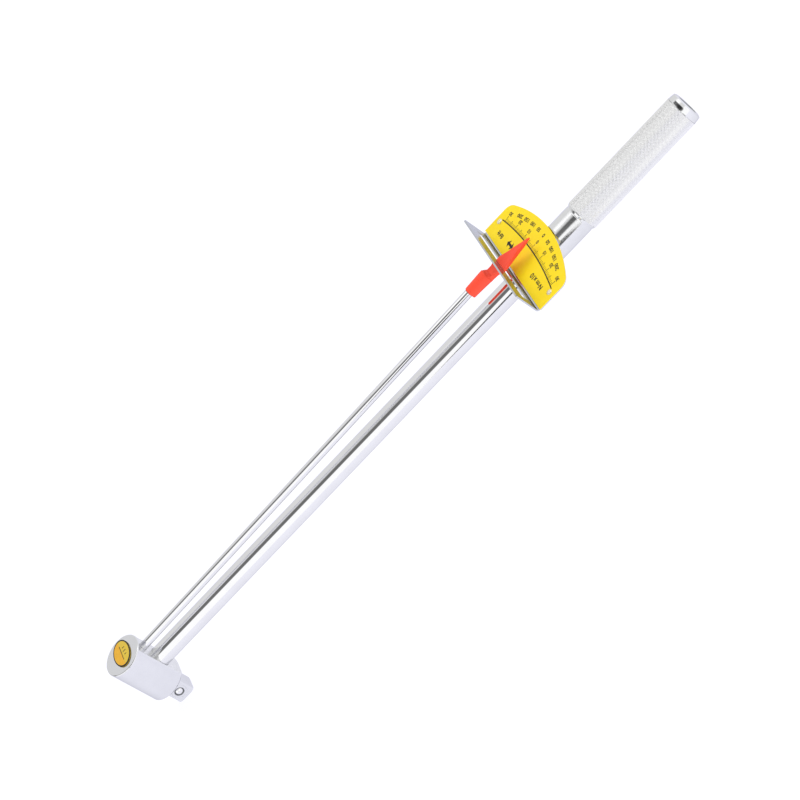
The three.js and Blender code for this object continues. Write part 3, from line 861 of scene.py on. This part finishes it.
def handle_rings():
    """The handle's outline as (radius, x, knurled), from the bore's front round to its back.

    In the back part, the third point lies before the second, so the skin folds over itself there.
    """
    plain_end = HANDLE_END - END_BAND
    front = soften(
        [
            (HANDLE_BORE, HANDLE_START),
            (NECK_RADIUS - 0.8, HANDLE_START),
            (NECK_RADIUS, HANDLE_START + 0.8),
            (NECK_RADIUS, GRIP_START - 0.6),
            (NECK_RADIUS - 0.25, GRIP_START - 0.3),
            (NECK_RADIUS - 0.25, GRIP_START),
            (GRIP_RADIUS - KNURL_DEPTH, GRIP_START + 1.5),
            (GRIP_RADIUS - KNURL_DEPTH, GRIP_START + 2),
        ],
        0.25,
        3,
    )
    knurl_start = GRIP_START + 2.2
    count = 2 * round((plain_end - knurl_start) / KNURL_PITCH)
    step = (plain_end - knurl_start) / count
    knurl = [knurl_start + step * i for i in range(count + 1)]
    back = soften(
        [
            (GRIP_RADIUS - KNURL_DEPTH, plain_end + 0.2),
            (GRIP_RADIUS - 0.12, plain_end + 0.8),
            (GRIP_RADIUS - 0.13, plain_end + 0.12),
            (GRIP_RADIUS - 0.35, HANDLE_END - 2.62),
            (GRIP_RADIUS - 0.36, HANDLE_END - 2.5),
            (GRIP_RADIUS - 0.4, HANDLE_END - 2.35),
            (GRIP_RADIUS - 0.7, HANDLE_END - 0.7),
            (GRIP_RADIUS - END_CHAMFER, HANDLE_END),
            (HANDLE_BORE + 0.3, HANDLE_END),
            (HANDLE_BORE, HANDLE_END - 0.3),
        ],
        0.25,
        3,
    )
    return (
        [(r, x, False) for r, x in front]
        + [(GRIP_RADIUS, x, True) for x in knurl]
        + [(r, x, False) for r, x in back]
    )


def handle():
    """A tube whose grip is a real diamond knurl: one small pyramid for each diamond."""
    around = 2 * round(2 * math.pi * GRIP_RADIUS / KNURL_PITCH)
    rings = handle_rings()
    vertices, faces = [], []
    knurl_row = 0
    rows = []
    for radius, x, knurled in rings:
        rows.append(knurl_row if knurled else None)
        for i in range(around):
            low = KNURL_DEPTH if knurled and (i + knurl_row) % 2 else 0
            vertices.append(place("X", radius - low, x, 2 * math.pi * i / around))
        if knurled:
            knurl_row += 1
    count = len(rings)
    for j in range(count):
        n = (j + 1) % count
        inside = rows[j] is not None and rows[n] is not None
        for i in range(around):
            k = (i + 1) % around
            a, b = j * around + i, j * around + k
            c, d = n * around + k, n * around + i
            if not inside:
                faces.append((a, b, c, d))
            elif (i + rows[j]) % 2:
                faces += [(a, b, c), (a, c, d)]
            else:
                faces += [(a, b, d), (b, c, d)]
    body = make_object("handle_tube", vertices, faces, turned_finish)
    body.data.transform(Matrix.Translation((0, 0, BEAM_Z * MM)))
    outward(body.data)
    flat_low = (HANDLE_START - 1, -12, BEAM_Z + HANDLE_FLAT)
    flat_high = (PLATE_X + HANDLE_FLAT_END, 12, BEAM_Z + 12)
    piece = combine("handle_tube", body, [("DIFFERENCE", block(flat_low, flat_high))], turned_finish)
    piece.data.materials.append(knurl_finish)
    knurl_low, knurl_high = (GRIP_START + 2) * MM, (HANDLE_END - END_BAND) * MM
    for face in piece.data.polygons:
        radius = math.hypot(face.center.y, face.center.z - BEAM_Z * MM)
        if knurl_low < face.center.x < knurl_high and radius > (GRIP_RADIUS - 1.2) * MM:
            face.material_index = 1
    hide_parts("handle")
    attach(piece, "handle")


def end_plug():
    radius = (PLUG_HIGH.y - PLUG_LOW.y) / 2
    profile = [
        (0, PLUG_LOW.x),
        (radius, PLUG_LOW.x),
        (radius, PLUG_HIGH.x - 0.3),
        (radius * 0.86, PLUG_HIGH.x),
        (radius * 0.8, PLUG_HIGH.x - 0.25),
        (1.4, PLUG_HIGH.x - 0.1),
        (0, PLUG_HIGH.x - 1.2),
    ]
    piece = turned("end_plug_disc", soften(profile, 0.3), "X", (0, 0, BEAM_Z), 96, oiled_steel_and_mouth_shade)
    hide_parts("handle_end_plug")
    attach(piece, "handle")


# ---- Scale ----


def scale_outline(inset, front_x, steps=24):
    """The fan shape: straight front and sides, corner arcs, and one large arc at the back."""
    half = PLATE_HALF_WIDTH - inset
    back_radius = PLATE_BACK_RADIUS - inset
    back_centre = PLATE_X + PLATE_DEPTH - PLATE_BACK_RADIUS
    corner_y = half - PLATE_CORNER
    reach = back_radius - PLATE_CORNER
    corner_x = back_centre + math.sqrt(reach**2 - corner_y**2)
    turn = math.atan2(corner_y, corner_x - back_centre)
    points = [(front_x, half), (front_x, -half)]
    points += arc((corner_x, -corner_y), PLATE_CORNER, -math.pi / 2, -turn, steps // 2)
    points += arc((back_centre, 0), back_radius, -turn, turn, 2 * steps)[1:-1]
    points += arc((corner_x, corner_y), PLATE_CORNER, turn, math.pi / 2, steps // 2)
    return points


def bracket_side():
    base_top = BRACKET_LOW.z + SHEET
    inner = 1.0
    outer = inner + SHEET
    bend = (PLATE_X - WALL_SETBACK + inner, base_top + inner)
    wall = PLATE_TOP + WALL_HEIGHT - bend[1]
    lean = math.pi + WALL_LEAN
    shift = -math.tan(WALL_LEAN) * wall
    far = PLATE_X + PLATE_DEPTH + 4
    inside = arc(bend, inner, 1.5 * math.pi, lean, 10)
    outside = arc(bend, outer, lean, 1.5 * math.pi, 14)
    top = [(bend[0] - inner + shift, bend[1] + wall), (bend[0] - outer + shift, bend[1] + wall)]
    return [(far, base_top), *inside, *top, *outside, (far, BRACKET_LOW.z)]


def rivet_holes():
    shape = [(0, 0), (1.4, 0), (1.4, 30), (0, 30)]
    return [
        turned("hole", shape, "Z", (PLATE_X + RIVET_X, side * RIVET_Y, BRACKET_LOW.z - 5), 32)
        for side in (-1, 1)
    ]


def screw_bounds(node):
    low, high = box_mm(node)
    return low, high, ((low.x + high.x) / 2, 0, 0)


def wall_side_cut(side):
    """What is trimmed off one end of the wall: the strip outside it, and its round top corner."""
    inside = WALL_HALF_WIDTH - WALL_CORNER
    corner = arc((inside, BRACKET_HIGH.z - WALL_CORNER), WALL_CORNER, 0, math.pi / 2, 10)
    bottom, above = BRACKET_LOW.z - 2, BRACKET_HIGH.z + 5
    outline = [(WALL_HALF_WIDTH, bottom), *corner, (inside, above), (60, above), (60, bottom)]
    return extruded("side_cut", [(side * y, z) for y, z in outline], PLATE_X - 12, PLATE_X, "X")


def bracket():
    sheet = extruded("sheet", bracket_side(), -PLATE_HALF_WIDTH, PLATE_HALF_WIDTH, "Y")
    footprint = scale_outline(BASE_INSET, PLATE_X - 12)
    trim = extruded("trim", footprint, BRACKET_LOW.z - 2, BRACKET_HIGH.z + 2)
    half_height = (WINDOW_HIGH - WINDOW_LOW) / 2
    outline = rounded_rectangle(WINDOW_HALF_LENGTH, half_height, WINDOW_CORNER)
    middle = PLATE_TOP + WINDOW_LOW + half_height
    raised = [(y, z + middle) for y, z in outline]
    window = extruded("window", raised, PLATE_X - 12, PLATE_X + 4, "X")
    steps = [("INTERSECT", trim), ("DIFFERENCE", window)]
    steps += [("DIFFERENCE", wall_side_cut(side)) for side in (-1, 1)]
    steps += [("DIFFERENCE", hole) for hole in rivet_holes()]
    for node in ("bracket_screw_front", "bracket_screw_rear"):
        low, high, centre = screw_bounds(node)
        head = (high.y - low.y) / 2 + FIT_GAP
        shape = [
            (0, low.z),
            (2.0, low.z),
            (2.0, high.z - 0.9),
            (head, high.z),
            (head, high.z + 2),
            (0, high.z + 2),
        ]
        steps.append(("DIFFERENCE", turned("sink", shape, "Z", centre, 48)))
    piece = combine("bracket_sheet", sheet, steps, sheet_chrome, bevel=0.14, segments=2)
    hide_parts("scale_bracket")
    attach(piece, "handle")


def plate():
    blank = extruded("plate", scale_outline(0, PLATE_X), PLATE_LOW.z, PLATE_TOP)
    steps = [("DIFFERENCE", hole) for hole in rivet_holes()]
    piece = combine("scale_face", blank, steps, yellow_paint, bevel=0.12, segments=2)
    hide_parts("scale_plate")
    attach(piece, "handle")


DIAL_RADIUS = PLATE_X + 17.0 - HINGE_X
FULL_SCALE = math.radians(9.5)
INK_LOW, INK_HIGH = 0.004, INK_HEIGHT


def on_dial(radius, angle):
    return HINGE_X + radius * math.cos(angle), radius * math.sin(angle)


def ink_strip(corners):
    return extruded("ink", corners, PLATE_TOP + INK_LOW, PLATE_TOP + INK_HIGH)


def ink_text(text, size, centre, turn=0.0):
    """Flat lettering whose top points to the head, centred on a point of the plate."""
    curve = bpy.data.curves.new("ink", "FONT")
    curve.body = text
    curve.size = size * MM
    curve.offset = 0.03 * size * MM
    curve.align_x = "CENTER"
    curve.align_y = "CENTER"
    curve.extrude = (INK_HIGH - INK_LOW) / 2 * MM
    holder = bpy.data.objects.new("ink", curve)
    bpy.context.scene.collection.objects.link(holder)
    bpy.context.view_layer.update()
    mesh = baked_mesh(holder)
    bpy.data.objects.remove(holder)
    spin = Matrix.Rotation(math.pi / 2 + turn, 4, "Z")
    height = PLATE_TOP + (INK_HIGH + INK_LOW) / 2
    mesh.transform(Matrix.Translation(Vector((*centre, height)) * MM) @ spin)
    return wrap_mesh("ink", mesh)


def dial_marks():
    """The arc, a tick for each tenth of a step, and the step numerals."""
    marks = []
    reach = FULL_SCALE * 1.08
    line = arc((HINGE_X, 0), DIAL_RADIUS, -reach, reach, 60)
    line += list(reversed(arc((HINGE_X, 0), DIAL_RADIUS - 0.75, -reach, reach, 60)))
    marks.append(ink_strip(line))
    for count in range(-30, 31):
        angle = FULL_SCALE * count / 30
        length = 3.6 if count % 10 == 0 else 2.8 if count % 5 == 0 else 1.9
        half = 0.2 if count % 5 == 0 else 0.13
        x0, y0 = on_dial(DIAL_RADIUS - 0.1, angle)
        x1, y1 = on_dial(DIAL_RADIUS + length, angle)
        tick = [(x0, y0 - half), (x1, y1 - half), (x1, y1 + half), (x0, y0 + half)]
        marks.append(ink_strip(tick))
    for count in range(-3, 4):
        angle = FULL_SCALE * count / 3
        centre = on_dial(DIAL_RADIUS + 5.6, angle * 0.985)
        marks.append(ink_text(str(abs(count) * 10), 3.5, centre, angle))
    return marks


def second_scale():
    """Smaller numbers that follow the plate's round back edge, and the two units."""
    marks = []
    back_centre = PLATE_X + PLATE_DEPTH - PLATE_BACK_RADIUS
    for count in range(-4, 5):
        y = 7.6 * count
        x = back_centre + math.sqrt((PLATE_BACK_RADIUS - 5.2) ** 2 - y**2)
        turn = math.atan2(y, x - back_centre)
        marks.append(ink_text(str(abs(count) * 50), 3.6, (x, y), turn))
    marks.append(ink_text("N·m x10", 4.6, (PLATE_X + 8.2, -26)))
    marks.append(ink_text("lbf·ft", 4.0, (PLATE_X + 6.6, 32)))
    return marks


def direction_mark():
    """A plain bold two-way arrow, which says that the wrench works both ways."""
    head, shaft, reach, middle = 2.6, 0.8, 4.0, 1.5
    half = [
        (-shaft, 0),
        (-shaft, middle),
        (-head, middle),
        (0, reach),
        (head, middle),
        (shaft, middle),
    ]
    outline = half + [(-x, -y) for x, y in half]
    return ink_strip([(PLATE_X + 7.7 + x, 17.7 + y) for x, y in outline])


def dial():
    piece = joined("dial_print", dial_marks() + second_scale() + [direction_mark()], black_ink)
    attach(piece, "handle")


def rivet(node, side):
    low, high = box_mm(node)
    head, shank = (high.y - low.y) / 2, 1.2
    seat, tail = PLATE_TOP + 0.04, BRACKET_LOW.z - 0.04
    profile = [
        (0, tail - 0.8),
        (1.5, tail - 0.8),
        (head, tail),
        (shank, tail),
        (shank, seat),
        (head, seat),
    ]
    for i in range(10):
        turn = i * math.pi / 20
        rise = (high.z - seat - 0.12) * math.sin(turn)
        profile.append((head * math.cos(turn), seat + 0.12 + rise))
    profile.append((0, high.z))
    centre = (PLATE_X + RIVET_X, side * RIVET_Y, 0)
    piece = turned("rivet_" + node.split("_")[-1], profile, "Z", centre, 48, rivet_painted_reflection)
    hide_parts(node)
    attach(piece, "handle")


def bracket_screw(node):
    low, high, centre = screw_bounds(node)
    head = (high.y - low.y) / 2
    profile = [
        (0, low.z),
        (1.4, low.z),
        (1.9, low.z + 0.5),
        (1.9, high.z - 0.9),
        (head, high.z),
        (0, high.z),
    ]
    body = turned("screw", profile, "Z", centre, 48)
    x = centre[0]
    slots = [
        block((x - 1.9, -0.35, high.z - 0.9), (x + 1.9, 0.35, high.z + 1)),
        block((x - 0.35, -1.9, high.z - 0.9), (x + 0.35, 1.9, high.z + 1)),
    ]
    piece = combine(node + "_body", body, [("DIFFERENCE", s) for s in slots], oiled_steel_and_mouth_shade, bevel=0.1)
    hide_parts(node)
    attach(piece, "handle")


# ---- Stage ----


def camera():
    azimuth, elevation = math.radians(CAMERA_AZIMUTH), math.radians(CAMERA_ELEVATION)
    roll = math.radians(CAMERA_ROLL)
    back = Vector(
        (
            math.sin(azimuth) * math.cos(elevation),
            -math.cos(azimuth) * math.cos(elevation),
            math.sin(elevation),
        )
    )
    right = Vector((math.cos(azimuth), math.sin(azimuth), 0))
    up = back.cross(right)
    rolled_right = right * math.cos(roll) + up * math.sin(roll)
    rolled_up = up * math.cos(roll) - right * math.sin(roll)
    data = bpy.data.cameras.new("camera")
    data.lens = CAMERA_LENS
    data.sensor_width = 36
    data.clip_start, data.clip_end = 0.01, 100
    made = bpy.data.objects.new("camera", data)
    bpy.context.scene.collection.objects.link(made)
    turn = Matrix((rolled_right, rolled_up, back)).transposed().to_4x4()
    made.matrix_world = Matrix.Translation(CAMERA_TARGET + back * CAMERA_DISTANCE) @ turn
    bpy.context.scene.camera = made


def floor():
    """A pale sheet, lit from below a little as a photographer's light table is."""
    half = 12 / MM
    level = HEAD_LOW.z - 0.5
    corners = [(-half, -half), (half, -half), (half, half), (-half, half)]
    shader = Shader("light_table", Roughness=0.9, Specular_IOR_Level=0.1)
    shader.main.inputs["Base Color"].default_value = (0.16, 0.16, 0.17, 1)
    shader.main.inputs["Emission Color"].default_value = (0.94, 0.94, 1.03, 1)
    shader.main.inputs["Emission Strength"].default_value = 0.93
    made = make_object("floor", [(*c, level) for c in corners], [(0, 1, 2, 3)], shader.material)


def studio():
    """A bright room seen as bands round the X axis, with a black flag, a black card and a window.

    The angle is 0 straight up, -90 on the -Y side and 90 on the +Y side.
    """
    world = bpy.data.worlds.new("studio")
    bpy.context.scene.world = world
    world.use_nodes = True
    nodes, links = world.node_tree.nodes, world.node_tree.links
    background = nodes["Background"]
    direction = nodes.new("ShaderNodeTexCoord").outputs["Generated"]
    parts = nodes.new("ShaderNodeSeparateXYZ")
    links.new(direction, parts.inputs[0])

    def math_node(operation, first, second=0.0, third=None, clamp=False):
        made = nodes.new("ShaderNodeMath")
        made.operation = operation
        made.use_clamp = clamp
        for socket, value in zip(made.inputs, (first, second, third)):
            if isinstance(value, bpy.types.NodeSocket):
                links.new(value, socket)
            elif value is not None:
                socket.default_value = value
        return made.outputs[0]

    x, y, z = parts.outputs
    angle = math_node("MULTIPLY", math_node("ARCTAN2", y, z), 180 / math.pi)
    slant = math_node("MINIMUM", x, -0.18)
    tilted = math_node("MULTIPLY_ADD", slant, 90, math_node("ADD", angle, 17))
    share = math_node("MULTIPLY_ADD", tilted, 1 / 360, 0.5)
    ramp = nodes.new("ShaderNodeValToRGB")
    links.new(share, ramp.inputs[0])
    bands = [
        (-180, 1.25),
        (-46, 1.25),
        (-41, 0.2),
        (-16, 0.17),
        (-9, 0.62),
        (3, 0.66),
        (14, 0.86),
        (60, 0.90),
        (95, 1.0),
        (180, 1.2),
    ]
    elements = ramp.color_ramp.elements
    while len(elements) < len(bands):
        elements.new(0.5)
    for element, (degrees, level) in zip(elements, bands):
        element.position = degrees / 360 + 0.5
        element.color = (level, level, level, 1)
    # A wedge-shaped black flag low on the -Y side, which narrows again as x rises.
    width = math_node("MULTIPLY", math_node("ADD", x, 0.207), 290)
    width = math_node("MINIMUM", width, 23.0)
    width = math_node("MINIMUM", width, math_node("MULTIPLY_ADD", x, -400, -12.0))
    distance = math_node("ABSOLUTE", math_node("ADD", angle, 86))
    flag = math_node("MULTIPLY", math_node("SUBTRACT", width, distance), 0.6, clamp=True)
    keep = math_node("MULTIPLY_ADD", flag, -0.93, 1.0)
    # A soft window nearly overhead.
    off_centre = math_node("ABSOLUTE", math_node("SUBTRACT", angle, 12))
    across = math_node("MULTIPLY_ADD", off_centre, -1 / 26, 1.0, clamp=True)
    along = math_node("MULTIPLY_ADD", x, 11, 2.36, clamp=True)
    window = math_node("MULTIPLY", math_node("MULTIPLY", across, along), 0.75)
    # Beyond x = 0.2 the room is at least grey, which fills the dark band there.
    far_side = math_node("MULTIPLY", math_node("MULTIPLY_ADD", x, 8, -1.6, clamp=True), 0.92)
    bands_lit = math_node("MAXIMUM", ramp.outputs["Color"], far_side)
    lit = math_node("MULTIPLY", math_node("ADD", bands_lit, window), keep)
    # A narrow black card at x = 0.08.
    card_x = math_node("ABSOLUTE", math_node("SUBTRACT", x, 0.08))
    card_x = math_node("MULTIPLY_ADD", card_x, -40, 4.0, clamp=True)
    card_angle = math_node("ABSOLUTE", math_node("ADD", angle, 12))
    card_angle = math_node("MULTIPLY_ADD", card_angle, -0.3, 12.6, clamp=True)
    card = math_node("MULTIPLY_ADD", math_node("MULTIPLY", card_x, card_angle), -0.92, 1.0)
    strength = math_node("MULTIPLY", lit, card)
    links.new(strength, background.inputs["Strength"])
    background.inputs["Color"].default_value = (1, 1, 1, 1)


def soft_light(name, place, size, energy):
    """A large soft light aimed at the wrench's middle, kept out of the reflections."""
    data = bpy.data.lights.new(name, "AREA")
    data.shape = "DISK"
    data.size = size
    data.energy = energy
    made = bpy.data.objects.new(name, data)
    made.location = place
    aim = Vector((0.3, 0, 0)) - made.location
    made.rotation_euler = aim.to_track_quat("-Z", "Y").to_euler()
    made.visible_glossy = False
    bpy.context.scene.collection.objects.link(made)


head_body()
badge()
beam()
pointer_rod()
pointer_tip()
detent()
lock_pin()
handle()
end_plug()
bracket()
plate()
dial()
rivet("scale_rivet_left", 1)
rivet("scale_rivet_right", -1)
bracket_screw("bracket_screw_front")
bracket_screw("bracket_screw_rear")
floor()
studio()
soft_light("key", (0.3, 0.9, 1.1), 0.7, 6)
soft_light("fill", (0.3, -1.1, 0.25), 0.8, 3)
camera()
bpy.context.scene.view_settings.view_transform = "Standard"

import json
